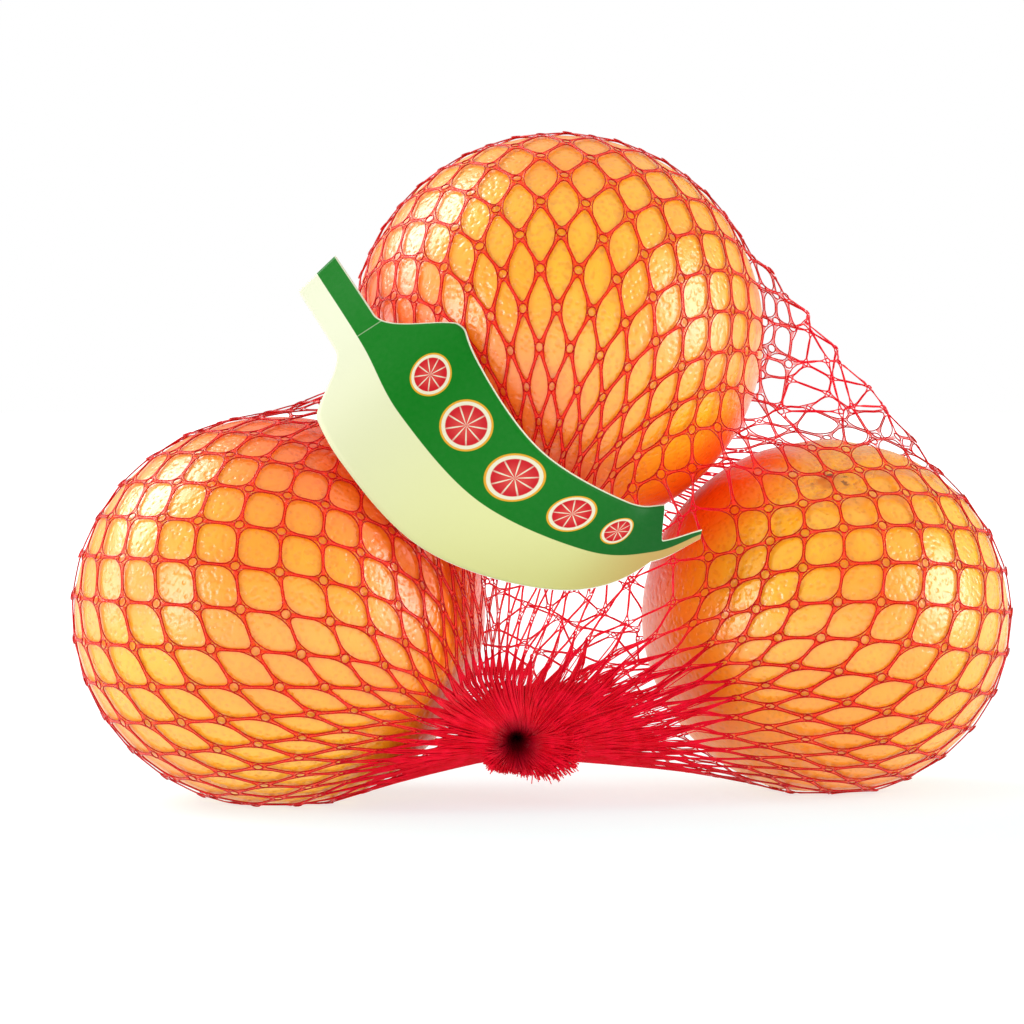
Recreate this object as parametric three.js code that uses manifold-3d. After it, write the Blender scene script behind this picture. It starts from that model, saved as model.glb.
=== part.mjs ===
// Net of grapefruit: two fruit below and one on top in a knitted tube net, with a bent card label
// across the front. Millimetres, Z up, the front towards -Y, resting on the plane Z = 0.
import * as THREE from "three";
import Module from "manifold-3d";

// The fruit on the left, on the right and on top: each a little flatter than a ball.
const FRUIT = [
  { centre: [-62.75, -11, 44.8], half: [48.4, 48.4, 46] },
  { centre: [67.25, 9, 41.6], half: [43.9, 43.9, 42.6] },
  { centre: [3.25, 8, 109.4], half: [48.8, 48.8, 47.4] },
];

// The net: a tube of diamond meshes, gathered low in front and again in the hollow behind.
const COLUMNS = 48; // knots around the tube
const ROWS = 30; // half meshes from gather to gather, an even number
const SLACK_LENGTH = 8; // strand length above which it pulls firmly
const LONGEST_STRAND = 10.2; // a strand hardly stretches past this
const NET_STAND = 1.2; // outside of the strands above the peel
const MESH_STAND = 0.3; // bottom of each open mesh above the peel
const GATHER_RADIUS = 3.5; // neck of the gathered net
const FRONT_GATHER = { centre: [-6.8, -34, 16.5], axis: [0.05, -1, -0.12] };
const BACK_GATHER = { centre: [4, 51.2, 78], axis: [0, 1, -0.1] };

// What shapes the net: the wide bag it starts as, the tuck on the left, the tight fin on the right.
const BAG = { centre: [0, 0, 74], half: [150, 100, 120] };
const TUCK = { x: -66, z: 114, radius: 19 };
const TUCK_TRAVEL = [-90, 60]; // where the tuck comes in from, in X and Z
const FIN = { from: [34.6, 8, 135.4], to: [93.9, 9, 65.4], radius: 8 };

// The pull of the strands in each round of drawing the net tight.
const ROUNDS = 1200;
const PULL = 0.125; // share of a firm strand's extra length taken up
const SLACK_PULL = 0.015; // share of a slack strand's length taken up
const LIMIT_PASSES = 3;
const LIMIT_PULL = 0.22;
const TUCK_START = 0.3; // share of the rounds before the tuck comes in
const TUCK_TIME = 0.4; // share of the rounds it takes to come in

// The gathered ends: a neck, then cut strands that spread into a rosette with a hollow middle.
const ROSETTE_PROFILE = [
  [-7, 2.6],
  [-1, 3.4],
  [1.5, 6.5],
  [3.5, 11.5],
  [6, 15],
  [8, 16],
  [8.2, 13],
  [7, 7.5],
  [5, 3],
];
const ROSETTE_FLUTES = 18;
const ROSETTE_FLUTE_DEPTH = 0.05;
const STEPS_PER_FLUTE = 4;
const FRONT_SQUASH = [1, 0.58]; // width and height of the front rosette, which is pressed flat
const BACK_SQUASH = [0.75, 0.75];

// The label: bent card carried along the line between its two printed fields.
const CARD_THICK = 0.5;
const CARD_STEPS = 10; // steps between two points of the line
const CARD_ACROSS = 8; // steps from the lower edge to the upper edge
const LABEL_LINE = [
  [-53.8, -10, 124.5],
  [-42.5, -29.5, 108.5],
  [-33.5, -42.2, 93],
  [-15.5, -46.5, 73.5],
  [9, -43.5, 62],
  [24.5, -40, 61.3],
  [35.8, -34.5, 65],
];
// The way from the lower edge to the upper edge at each point of the line.
const LABEL_ACROSS = [
  [0.72, 0.12, 0.69],
  [0.8, -0.03, 0.6],
  [0.8, 0.02, 0.6],
  [0.76, 0.16, 0.63],
  [0.6, 0.4, 0.7],
  [0.22, 0.55, 0.8],
  [0.2, 0.4, 0.9],
];
// Widths on either side of the line, and where they change, counted in points of the line.
const TAIL_WIDTH = 6.1;
const UPPER_WIDTH = { start: 24, end: 13, bend: 0.85 };
const LOWER_WIDTH = { start: 17.4, end: 2.6, bend: 2.2 };
const UPPER_SHOULDER = { at: 0.78, length: 0.75 };
const LOWER_SHOULDER = { at: 0.85, length: 0.6 };
const UPPER_TAPER = 1.5;
const LOWER_TAPER = 2.4;
const END_NOTCH = { at: 5, length: 0.1, width: 3 };
const TIP_WIDTH = 1.2;

const FLOOR_BLOCK = 400; // block that is cut away below Z = 0
const JOIN_DIGITS = 4; // points that agree to so many decimals are one point

// Colour, roughness and metalness of the net and of the card.
const NET_LOOK = { color: "#d8452f", roughness: 0.5, metalness: 0 };
const CARD_LOOK = { color: "#1f8a3c", roughness: 0.4, metalness: 0 };

const vector = (list) => new THREE.Vector3(...list);

// The knots above and below one knot: odd rows stand half a mesh further round.
function strandsOf(row, column) {
  const left = row % 2 ? column : (column + COLUMNS - 1) % COLUMNS;
  const right = row % 2 ? (column + 1) % COLUMNS : column;
  return [
    [row + 1, left],
    [row + 1, right],
    [row - 1, left],
    [row - 1, right],
  ];
}

// A wide oval bag around the fruit, from which the net is drawn tight.
function looseNet() {
  const from = vector(FRONT_GATHER.centre);
  const along = vector(BACK_GATHER.centre).sub(from).normalize();
  const side = new THREE.Vector3(1, 0, 0).addScaledVector(along, -along.x).normalize();
  const third = new THREE.Vector3().crossVectors(along, side);
  const knots = [];
  for (let row = 0; row <= ROWS; row++) {
    const tilt = (Math.PI * row) / ROWS;
    const ring = [];
    for (let column = 0; column < COLUMNS; column++) {
      const turn = ((column + (row % 2) / 2) / COLUMNS) * 2 * Math.PI;
      const way = along.clone().multiplyScalar(-Math.cos(tilt));
      way.addScaledVector(side, Math.sin(tilt) * Math.cos(turn));
      way.addScaledVector(third, Math.sin(tilt) * Math.sin(turn));
      way.divideScalar(way.clone().divide(vector(BAG.half)).length());
      ring.push(way.add(vector(BAG.centre)));
    }
    knots.push(ring);
  }
  pinGather(knots, 0, 1, FRONT_GATHER);
  pinGather(knots, ROWS, ROWS - 1, BACK_GATHER);
  return knots;
}

// Puts an end row on the small ring of its gather, each knot in line with the row beside it.
function pinGather(knots, row, beside, gather) {
  const axis = vector(gather.axis).normalize();
  const middle = new THREE.Vector3();
  knots[beside].forEach((knot) => middle.addScaledVector(knot, 1 / COLUMNS));
  knots[row] = knots[beside].map((knot) => {
    const way = knot.clone().sub(middle);
    way.addScaledVector(axis, -way.dot(axis)).normalize();
    return way.multiplyScalar(GATHER_RADIUS).add(vector(gather.centre));
  });
}

// Moves a point out to a fruit's surface, raised by stand, where it lies inside it.
function outOfFruit(point, fruit, stand) {
  const half = vector(fruit.half).addScalar(stand);
  const away = point.clone().sub(vector(fruit.centre));
  const depth = away.clone().divide(half).length();
  if (depth < 1) point.copy(away.divideScalar(depth)).add(vector(fruit.centre));
}

// Keeps a knot off the fruit and outside the fin, and moves it from the tuck.
function keepOff(point, tuck) {
  FRUIT.forEach((fruit) => outOfFruit(point, fruit, NET_STAND));
  const edge = new THREE.Line3(vector(FIN.from), vector(FIN.to));
  const near = edge.closestPointToPoint(point, true, new THREE.Vector3());
  const away = point.clone().sub(near);
  if (away.length() < FIN.radius) point.copy(near.addScaledVector(away.normalize(), FIN.radius));
  if (!tuck) return;
  const x = point.x - tuck.x;
  const z = point.z - tuck.z;
  const gap = Math.hypot(x, z);
  if (gap >= TUCK.radius) return;
  point.x = tuck.x + (x * TUCK.radius) / gap;
  point.z = tuck.z + (z * TUCK.radius) / gap;
}

// Moves each free knot by the pull of its four strands, all from the same starting places.
function pullOnce(knots, pullOf, tuck) {
  const before = knots.map((ring) => ring.map((knot) => knot.clone()));
  for (let row = 1; row < ROWS; row++) {
    for (let column = 0; column < COLUMNS; column++) {
      const knot = knots[row][column];
      for (const [r, c] of strandsOf(row, column)) {
        const strand = before[r][c].clone().sub(before[row][column]);
        const length = strand.length();
        knot.addScaledVector(strand, pullOf(length) / length);
      }
      keepOff(knot, tuck);
    }
  }
}

// Draws the net tight over the fruit, with the tuck brought in from outside on the way.
function tightNet() {
  const knots = looseNet();
  const firm = (length) => PULL * Math.max(length - SLACK_LENGTH, 0) + SLACK_PULL * length;
  const limit = (length) => LIMIT_PULL * Math.max(length - LONGEST_STRAND, 0);
  for (let round = 0; round < ROUNDS; round++) {
    const stage = (round / ROUNDS - TUCK_START) / TUCK_TIME;
    const left = 1 - Math.min(stage, 1);
    const tuck = stage > 0 && { x: TUCK.x + TUCK_TRAVEL[0] * left, z: TUCK.z + TUCK_TRAVEL[1] * left };
    pullOnce(knots, firm, tuck);
    for (let pass = 0; pass < LIMIT_PASSES; pass++) pullOnce(knots, limit, tuck);
  }
  return knots;
}

// The bottom of an open mesh: sunk towards the peel over a fruit, level with its knots elsewhere.
function meshMiddle(corners) {
  const middle = new THREE.Vector3();
  corners.forEach((corner) => middle.addScaledVector(corner, 1 / corners.length));
  for (const fruit of FRUIT) {
    const away = middle.clone().sub(vector(fruit.centre));
    const outer = vector(fruit.half).addScalar(NET_STAND);
    if (away.clone().divide(outer).length() >= 1) continue;
    const inner = vector(fruit.half).addScalar(MESH_STAND);
    return away.divideScalar(away.clone().divide(inner).length()).add(vector(fruit.centre));
  }
  return middle;
}

// The skin of the net as triangles: four for each mesh, and a fan over each gathered end.
function netTriangles(knots) {
  const triangles = [];
  for (let row = 1; row < ROWS; row++) {
    for (let column = 0; column < COLUMNS; column++) {
      const next = (column + 1) % COLUMNS;
      const between = row % 2 ? next : column;
      const left = knots[row][column];
      const right = knots[row][next];
      const below = knots[row - 1][between];
      const above = knots[row + 1][between];
      const middle = meshMiddle([left, below, right, above]);
      triangles.push([left, below, middle], [below, right, middle]);
      triangles.push([right, above, middle], [above, left, middle]);
    }
  }
  for (let column = 0; column < COLUMNS; column++) {
    const next = (column + 1) % COLUMNS;
    const front = knots[0];
    const back = knots[ROWS];
    triangles.push([front[column], front[next], knots[1][column]]);
    triangles.push([front[next], front[column], vector(FRONT_GATHER.centre)]);
    triangles.push([back[next], back[column], knots[ROWS - 1][column]]);
    triangles.push([back[column], back[next], vector(BACK_GATHER.centre)]);
  }
  return triangles;
}

// A gathered end: the profile turned about the gather's axis, fluted, and pressed to an oval.
function rosetteTriangles(gather, squash) {
  const axis = vector(gather.axis).normalize();
  const wide = new THREE.Vector3(0, 0, 1).cross(axis).normalize();
  const tall = new THREE.Vector3().crossVectors(axis, wide);
  const steps = ROSETTE_FLUTES * STEPS_PER_FLUTE;
  const at = ([out, radius], step) => {
    const turn = (step / steps) * 2 * Math.PI;
    const flute = radius * (1 + ROSETTE_FLUTE_DEPTH * Math.cos(turn * ROSETTE_FLUTES));
    return vector(gather.centre)
      .addScaledVector(axis, out)
      .addScaledVector(wide, flute * squash[0] * Math.cos(turn))
      .addScaledVector(tall, flute * squash[1] * Math.sin(turn));
  };
  const first = at([ROSETTE_PROFILE[0][0], 0], 0);
  const last = at([ROSETTE_PROFILE.at(-1)[0], 0], 0);
  const triangles = [];
  for (let step = 0; step < steps; step++) {
    const next = (step + 1) % steps;
    triangles.push([first, at(ROSETTE_PROFILE[0], next), at(ROSETTE_PROFILE[0], step)]);
    triangles.push([last, at(ROSETTE_PROFILE.at(-1), step), at(ROSETTE_PROFILE.at(-1), next)]);
    for (let k = 1; k < ROSETTE_PROFILE.length; k++) {
      const inner = ROSETTE_PROFILE[k - 1];
      const outer = ROSETTE_PROFILE[k];
      triangles.push([at(inner, step), at(inner, next), at(outer, next)]);
      triangles.push([at(inner, step), at(outer, next), at(outer, step)]);
    }
  }
  return triangles;
}

// The widths of the card above and below its line, at a place counted in points of the line.
function labelWidths(place) {
  const share = (from) => THREE.MathUtils.clamp((place - from) / (END_NOTCH.at - from), 0, 1);
  const rise = ({ at, length }) => THREE.MathUtils.smoothstep(place, at, at + length);
  const mix = THREE.MathUtils.lerp;
  const upperBody = mix(UPPER_WIDTH.start, UPPER_WIDTH.end, share(UPPER_TAPER) ** UPPER_WIDTH.bend);
  const lowerBody = mix(TAIL_WIDTH, LOWER_WIDTH.start, rise(LOWER_SHOULDER));
  const upper = mix(TAIL_WIDTH, upperBody, rise(UPPER_SHOULDER));
  const lower = mix(lowerBody, LOWER_WIDTH.end, share(LOWER_TAPER) ** LOWER_WIDTH.bend);
  const tail = Math.max(place - END_NOTCH.at, 0);
  const notched = mix(upper, END_NOTCH.width, rise(END_NOTCH));
  return [mix(notched, TIP_WIDTH, tail), mix(lower, TIP_WIDTH, tail)];
}

// The card as triangles: two faces and the cut edges around them.
function labelTriangles() {
  const curve = (points) => new THREE.CatmullRomCurve3(points.map(vector), false, "catmullrom");
  const line = curve(LABEL_LINE);
  const ways = curve(LABEL_ACROSS);
  const along = (LABEL_LINE.length - 1) * CARD_STEPS;
  const centre = (step, across) => {
    const [upper, lower] = labelWidths(step / CARD_STEPS);
    const share = (2 * across) / CARD_ACROSS - 1;
    const way = ways.getPoint(step / along).normalize();
    return line.getPoint(step / along).addScaledVector(way, share * (share > 0 ? upper : lower));
  };
  const normal = (step, across) => {
    const run = centre(Math.min(step + 1, along), across).sub(centre(Math.max(step - 1, 0), across));
    const rise = centre(step, Math.min(across + 1, CARD_ACROSS));
    rise.sub(centre(step, Math.max(across - 1, 0)));
    return run.cross(rise).normalize();
  };
  const face = (step, across, side) =>
    centre(step, across).addScaledVector(normal(step, across), (side * CARD_THICK) / 2);
  const triangles = [];
  const patch = (a, b, c, d) => triangles.push([a, b, c], [a, c, d]);
  for (let i = 0; i < along; i++) {
    for (let j = 0; j < CARD_ACROSS; j++) {
      patch(face(i, j, 1), face(i + 1, j, 1), face(i + 1, j + 1, 1), face(i, j + 1, 1));
      patch(face(i, j + 1, -1), face(i + 1, j + 1, -1), face(i + 1, j, -1), face(i, j, -1));
    }
    const top = CARD_ACROSS;
    patch(face(i, 0, -1), face(i + 1, 0, -1), face(i + 1, 0, 1), face(i, 0, 1));
    patch(face(i, top, 1), face(i + 1, top, 1), face(i + 1, top, -1), face(i, top, -1));
  }
  for (let j = 0; j < CARD_ACROSS; j++) {
    patch(face(0, j, 1), face(0, j + 1, 1), face(0, j + 1, -1), face(0, j, -1));
    patch(face(along, j, -1), face(along, j + 1, -1), face(along, j + 1, 1), face(along, j, 1));
  }
  return triangles;
}

const solids = await Module();
solids.setup();

// A closed solid from triangles, with points that coincide joined.
function solidFrom(triangles) {
  const places = new Map();
  const points = [];
  const corners = triangles.flat().map((point) => {
    const key = point.toArray().map((value) => value.toFixed(JOIN_DIGITS)).join(" ");
    if (!places.has(key)) {
      places.set(key, places.size);
      points.push(...point.toArray());
    }
    return places.get(key);
  });
  const mesh = new solids.Mesh({
    numProp: 3,
    vertProperties: new Float32Array(points),
    triVerts: new Uint32Array(corners),
  });
  return new solids.Manifold(mesh);
}

// The triangles of a ready-made shape.
function trianglesOf(geometry) {
  const places = geometry.toNonIndexed().getAttribute("position");
  const triangles = [];
  for (let first = 0; first < places.count; first += 3) {
    const corner = (k) => new THREE.Vector3().fromBufferAttribute(places, first + k);
    triangles.push([corner(0), corner(1), corner(2)]);
  }
  return triangles;
}

// A named mesh from a closed solid.
function meshFrom(solid, name, look) {
  const { vertProperties, triVerts, numProp } = solid.getMesh();
  const geometry = new THREE.BufferGeometry();
  const points = new THREE.InterleavedBuffer(vertProperties, numProp);
  geometry.setAttribute("position", new THREE.InterleavedBufferAttribute(points, 3, 0));
  geometry.setIndex([...triVerts]);
  const flat = geometry.toNonIndexed();
  flat.computeVertexNormals();
  const mesh = new THREE.Mesh(flat, new THREE.MeshStandardMaterial(look));
  mesh.name = name;
  return mesh;
}

// The filled net with its gathered ends, cut flat where it rests.
const block = new THREE.BoxGeometry(FLOOR_BLOCK, FLOOR_BLOCK, FLOOR_BLOCK);
block.translate(0, 0, -FLOOR_BLOCK / 2);
const netBag = solidFrom(netTriangles(tightNet()))
  .add(solidFrom(rosetteTriangles(FRONT_GATHER, FRONT_SQUASH)))
  .add(solidFrom(rosetteTriangles(BACK_GATHER, BACK_SQUASH)))
  .subtract(solidFrom(trianglesOf(block)));

const group = new THREE.Group();
group.add(meshFrom(netBag, "net_bag", NET_LOOK));
group.add(meshFrom(solidFrom(labelTriangles()), "label", CARD_LOOK));

export default group;
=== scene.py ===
# %% [markdown]
# # Net of grapefruit
# Three grapefruit hang together in a knitted red net, two below and one on top, with a bent card
# label across the front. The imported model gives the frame: one solid for the filled net and one for
# the card. This lesson replaces them by fruit, strands, tufts and printed card. All places below are
# in millimetres, with X to the right, Y to the back and Z up, and become metres in the meshes.

import math

import bpy
import numpy as np
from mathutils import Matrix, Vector


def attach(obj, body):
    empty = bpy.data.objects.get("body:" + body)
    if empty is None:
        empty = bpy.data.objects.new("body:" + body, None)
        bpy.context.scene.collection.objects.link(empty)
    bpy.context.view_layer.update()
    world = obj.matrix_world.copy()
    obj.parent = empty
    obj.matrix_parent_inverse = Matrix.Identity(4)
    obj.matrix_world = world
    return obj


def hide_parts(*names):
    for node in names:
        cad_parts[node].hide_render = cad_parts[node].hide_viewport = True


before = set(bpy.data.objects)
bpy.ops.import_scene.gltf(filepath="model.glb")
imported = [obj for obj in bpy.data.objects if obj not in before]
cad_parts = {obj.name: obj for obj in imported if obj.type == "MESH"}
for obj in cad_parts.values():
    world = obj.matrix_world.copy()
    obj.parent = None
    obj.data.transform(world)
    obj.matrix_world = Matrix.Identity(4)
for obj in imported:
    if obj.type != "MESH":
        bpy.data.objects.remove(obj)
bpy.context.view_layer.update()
MM = 0.001
print("packed nodes:", sorted(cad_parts))

# %% [markdown]
# ## Meshes from arrays
# Every piece here is a grid of points that a formula gives, so one helper that takes arrays is
# enough. It writes whole arrays into the mesh, because a Python loop over half a million corners
# would take longer than the render.


# %% Mesh helpers
def length_of(vectors):
    """The length of each vector, as a column."""
    return np.linalg.norm(vectors, axis=-1, keepdims=True)


def unit(vectors):
    """Each vector divided by its length."""
    return vectors / np.maximum(length_of(vectors), 1e-9)


def smooth_step(value, start, length):
    """0 before start, 1 after start + length, and 3 x squared - 2 x cubed between them."""
    share = np.clip((value - start) / length, 0, 1)
    return share * share * (3 - 2 * share)


def grid_quads(rows, columns, closed_rows=False, closed_columns=False):
    """Corner numbers of the cells of a grid: this column, the next, and both again one row on."""
    row = np.arange(rows if closed_rows else rows - 1)[:, None]
    column = np.arange(columns if closed_columns else columns - 1)[None, :]
    next_row = (row + 1) % rows
    next_column = (column + 1) % columns
    corners = [row * columns + column, row * columns + next_column]
    corners += [next_row * columns + next_column, next_row * columns + column]
    return np.stack(np.broadcast_arrays(*corners), axis=-1).reshape(-1, 4)


def make_piece(name, points, quads, finishes):
    """A smooth mesh object from points in millimetres and rows of four corner numbers."""
    mesh = bpy.data.meshes.new(name)
    mesh.vertices.add(len(points))
    mesh.vertices.foreach_set("co", (points * MM).astype(np.float32).ravel())
    mesh.loops.add(quads.size)
    mesh.loops.foreach_set("vertex_index", quads.astype(np.int32).ravel())
    mesh.polygons.add(len(quads))
    mesh.polygons.foreach_set("loop_start", np.arange(0, quads.size, 4, dtype=np.int32))
    mesh.polygons.foreach_set("use_smooth", np.ones(len(quads), dtype=bool))
    mesh.update(calc_edges=True)
    for finish in finishes:
        mesh.materials.append(finish.material)
    piece = bpy.data.objects.new(name, mesh)
    bpy.context.scene.collection.objects.link(piece)
    print(f"{name}: {2 * len(quads)} triangles")
    return piece


def add_value(piece, name, values):
    """One number for each point of a piece, for its material to read."""
    layer = piece.data.attributes.new(name, "FLOAT", "POINT")
    layer.data.foreach_set("value", values.astype(np.float32).ravel())


# %% [markdown]
# ## Materials as expressions
# A material is a net of nodes. Writing them as sums and products keeps the recipe readable: the
# class Number wraps a socket, and arithmetic on it adds Math nodes. Recipe.node adds any other
# node.


# %% Shader helpers
BLACK = (0.0, 0.0, 0.0, 1.0)
WHITE = (1.0, 1.0, 1.0, 1.0)
CLOUD_EDGES = (0.35, 0.7)


class Number:
    """A value on its way through a recipe: arithmetic on it adds Math nodes."""

    def __init__(self, recipe, socket):
        self.recipe = recipe
        self.socket = socket

    def math(self, operation, first, second=0.0):
        return self.recipe.node("ShaderNodeMath", {"operation": operation}, {0: first, 1: second})

    def __add__(self, other):
        return self.math("ADD", self, other)

    def __sub__(self, other):
        return self.math("SUBTRACT", self, other)

    def __rsub__(self, other):
        return self.math("SUBTRACT", other, self)

    def __mul__(self, other):
        return self.math("MULTIPLY", self, other)

    def __truediv__(self, other):
        return self.math("DIVIDE", self, other)

    def __pow__(self, other):
        return self.math("POWER", self, other)

    def __abs__(self):
        return self.math("ABSOLUTE", self)

    __radd__ = __add__
    __rmul__ = __mul__


# %% Recipes and finishes
class Recipe:
    """A node tree that is built up node by node."""

    def __init__(self, tree):
        self.tree = tree

    def node(self, kind, settings, inputs, output=0):
        """A node of that kind: its settings first, then the values or links of its sockets."""
        made = self.tree.nodes.new(kind)
        for name, value in settings.items():
            setattr(made, name, value)
        for name, value in inputs.items():
            self.feed(made.inputs[name], value)
        return Number(self, made.outputs[output])

    def feed(self, socket, value):
        if isinstance(value, Number):
            self.tree.links.new(value.socket, socket)
        else:
            socket.default_value = value

    def mix(self, share, first, second):
        """A colour between two colours."""
        inputs = {0: share, 6: first, 7: second}
        return self.node("ShaderNodeMix", {"data_type": "RGBA"}, inputs, 2)

    def ease(self, value, low, high):
        """0 up to low, 1 from high on, with a smooth change between."""
        settings = {"interpolation_type": "SMOOTHSTEP"}
        return self.node("ShaderNodeMapRange", settings, {"Value": value, 1: low, 2: high})


class Finish(Recipe):
    """A material with one Principled shader."""

    def __init__(self, name, **fixed):
        self.material = bpy.data.materials.new(name)
        self.material.use_nodes = True
        super().__init__(self.material.node_tree)
        self.shader = self.tree.nodes["Principled BSDF"]
        for socket, value in fixed.items():
            self.shader.inputs[socket.replace("_", " ")].default_value = value

    def give(self, name, value):
        """Links a value to a socket of the Principled shader."""
        self.feed(self.shader.inputs[name], value)

    def place(self):
        """Object coordinates in metres."""
        return self.node("ShaderNodeTexCoord", {}, {}, "Object")

    def value(self, name):
        """The piece's own number of that name."""
        return self.node("ShaderNodeAttribute", {"attribute_name": name}, {}, "Fac")

    def noise(self, scale, detail=2.0):
        """Soft noise from 0 to 1; scale counts its lumps in a metre."""
        inputs = {"Vector": self.place(), "Scale": scale, "Detail": detail}
        return self.node("ShaderNodeTexNoise", {}, inputs)

    def clouds(self, scale, detail=2.0):
        """The same noise with more contrast."""
        return self.ease(self.noise(scale, detail), *CLOUD_EDGES)

    def bump(self, height, distance, strength):
        """Bends the shading by a height from 0 to 1, which stands for that many metres."""
        inputs = {"Height": height, "Distance": distance, "Strength": strength}
        self.give("Normal", self.node("ShaderNodeBump", {}, inputs))


def tint(red, green, blue):
    """A colour as picture editors count it, 0 to 255, turned into the renderer's linear numbers."""
    share = np.array([red, green, blue]) / 255
    linear = np.where(share < 0.04045, share / 12.92, ((share + 0.055) / 1.055) ** 2.4)
    return (*linear.tolist(), 1.0)


# %% [markdown]
# ## The camera and the room
# The photograph is taken from the front, a little above, with a long lens against white. The light
# is a studio: panels on both sides, a strong lamp high on the left behind the pack, and a panel in
# front that fills the shadows and isn't mirrored by the peel. The horizon is white. The ceiling and
# the room behind the camera are dimmer, so that the peel keeps its colour. The floor is a sheet that
# is lit from below, so that shadows on it stay faint. It is a little cool, against the red light that
# the pack throws on it, and it glows more towards its edge, so that no edge shows.

# %% Camera and room
PHOTO_SIDE = 1024
PIXEL = 0.238
AIM = np.array([-7.95, 0.0, 67.5])
DISTANCE = 1300.0
ELEVATION = math.radians(4.5)
SENSOR = 36.0
# Brightness of the ceiling against the white horizon, and how much dimmer the room in front is. The
# pairs say where on the way up, and on the way from the side to the front, each sets in.
CEILING = 0.68
CEILING_RISE = (0.05, 0.3)
FRONT_DIM = 0.32
FRONT_RISE = (0.02, 0.12)
FRONT_TURN = (0.2, 0.8)
PANEL_DISTANCE = 2.2
FLOOR_HALF = 1500.0
# Glow of the floor at the pack, and what it gains towards the edge over a run in metres.
FLOOR_GLOW = 0.72
EDGE_GLOW = 0.58
EDGE_RUN = (0.2, 0.8)
FLOOR_GREY = tint(150, 170, 171)
FLOOR_PALE = tint(154, 174, 175)
# Direction from the pack, width and height in metres, and brightness against white of each panel.
PANELS = {
    "left_wall": ((-0.82, -0.5, 0.1), 0.8, 1.5, 5.6),
    "left_rim": ((-0.96, 0.28, 0.2), 0.6, 1.5, 4.0),
    "right_wall": ((0.95, -0.15, 0.24), 1.3, 1.4, 5.4),
    "high_left": ((-0.64, 0.43, 0.6), 1.2, 1.2, 7.2),
    "front_fill": ((0.1, -1.0, 0.25), 1.6, 1.6, 1.7),
}


def turned_to(direction):
    """Turn that points an object's Z axis along a direction, so that its front faces back."""
    return Vector(direction).to_track_quat("Z", "Y").to_euler()


camera = bpy.data.objects.new("camera", bpy.data.cameras.new("camera"))
camera.data.sensor_width = SENSOR
camera.data.lens = SENSOR * DISTANCE / (PHOTO_SIDE * PIXEL)
from_aim = np.array([0.0, -math.cos(ELEVATION), math.sin(ELEVATION)])
camera.location = (AIM + DISTANCE * from_aim) * MM
camera.rotation_euler = turned_to(from_aim)
bpy.context.scene.collection.objects.link(camera)
bpy.context.scene.camera = camera
bpy.context.scene.view_settings.view_transform = "Standard"
print("lens", round(camera.data.lens, 1), "mm")

# %% Room light
world = bpy.data.worlds.new("studio")
bpy.context.scene.world = world
world.use_nodes = True
room = Recipe(world.node_tree)
direction = room.node("ShaderNodeTexCoord", {}, {}, "Generated")
height = room.node("ShaderNodeSeparateXYZ", {}, {0: direction}, "Z")
to_back = room.node("ShaderNodeSeparateXYZ", {}, {0: direction}, "Y")
brightness = 1 - (1 - CEILING) * room.ease(height, *CEILING_RISE)
in_front = room.ease(height, *FRONT_RISE) * room.ease(0 - to_back, *FRONT_TURN)
background = world.node_tree.nodes["Background"]
background.inputs["Color"].default_value = WHITE
room.feed(background.inputs["Strength"], brightness - FRONT_DIM * in_front)

for name, (way, wide, high, strength) in PANELS.items():
    lamp = bpy.data.lights.new(name, "AREA")
    lamp.shape = "RECTANGLE"
    lamp.size = wide
    lamp.size_y = high
    lamp.energy = strength * math.pi * wide * high
    panel = bpy.data.objects.new(name, lamp)
    panel.location = AIM * MM + PANEL_DISTANCE * unit(np.array(way))
    panel.rotation_euler = turned_to(way)
    panel.visible_camera = False
    panel.visible_glossy = name != "front_fill"
    bpy.context.scene.collection.objects.link(panel)

# %% Floor sheet
ground = Finish("floor sheet", Roughness=0.6, Specular_IOR_Level=0.0, Emission_Strength=0.95)
length = {"operation": "LENGTH"}
from_middle = ground.node("ShaderNodeVectorMath", length, {0: ground.place()}, 1)
glow = FLOOR_GLOW + EDGE_GLOW * ground.ease(from_middle, *EDGE_RUN)
ground.give("Base Color", ground.mix(ground.noise(1.5), FLOOR_GREY, FLOOR_PALE))
ground.give("Emission Color", ground.mix(glow, BLACK, WHITE))
floor_corners = np.array([[-1.0, -1, 0], [1, -1, 0], [-1, 1, 0], [1, 1, 0]]) * FLOOR_HALF
floor = make_piece("floor", floor_corners, grid_quads(2, 2), [ground])

# %% [markdown]
# ## The fruit
# A grapefruit is a slightly flat ball with a hollow at its stem end, faint furrows that run out of
# the hollow, and slow bumps. A ball made of rings has pinched poles, so this one is a cube of six
# grids blown up to a ball. Its lowest part is pressed flat where it stands, and two fruit that
# touch are pressed flat against each other.

# %% Fruit shapes
FRUIT = {
    "left": {"centre": (-62.75, -11, 44.8), "half": (48.4, 48.4, 46), "stem": (-0.35, 0.75, 0.55)},
    "right": {"centre": (67.25, 9, 41.6), "half": (43.9, 43.9, 42.6), "stem": (0.0, -0.53, 0.85)},
    "top": {"centre": (3.25, 8, 109.4), "half": (48.8, 48.8, 47.4), "stem": (0.4, 0.8, 0.45)},
}
CENTRES = np.array([fruit["centre"] for fruit in FRUIT.values()], dtype=float)
HALVES = np.array([fruit["half"] for fruit in FRUIT.values()], dtype=float)
BALL_STEPS = 72
HOLLOW_DEPTH = 2.2
HOLLOW_ANGLE = 0.26
FURROW_DEPTH = 0.7
FURROW_COUNT = 9
FURROW_ANGLE = 0.42
FURROW_REACH = 0.3
BUMP_HEIGHT = 0.2
BUMP_WAVES = 7
BUMP_PACE = 2.6
BUMP_SHIFT = 6.28
BUTTON_HEIGHT = 1.1
BUTTON_ANGLE = 0.055
FLOOR_PRESS = 1.05
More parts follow.
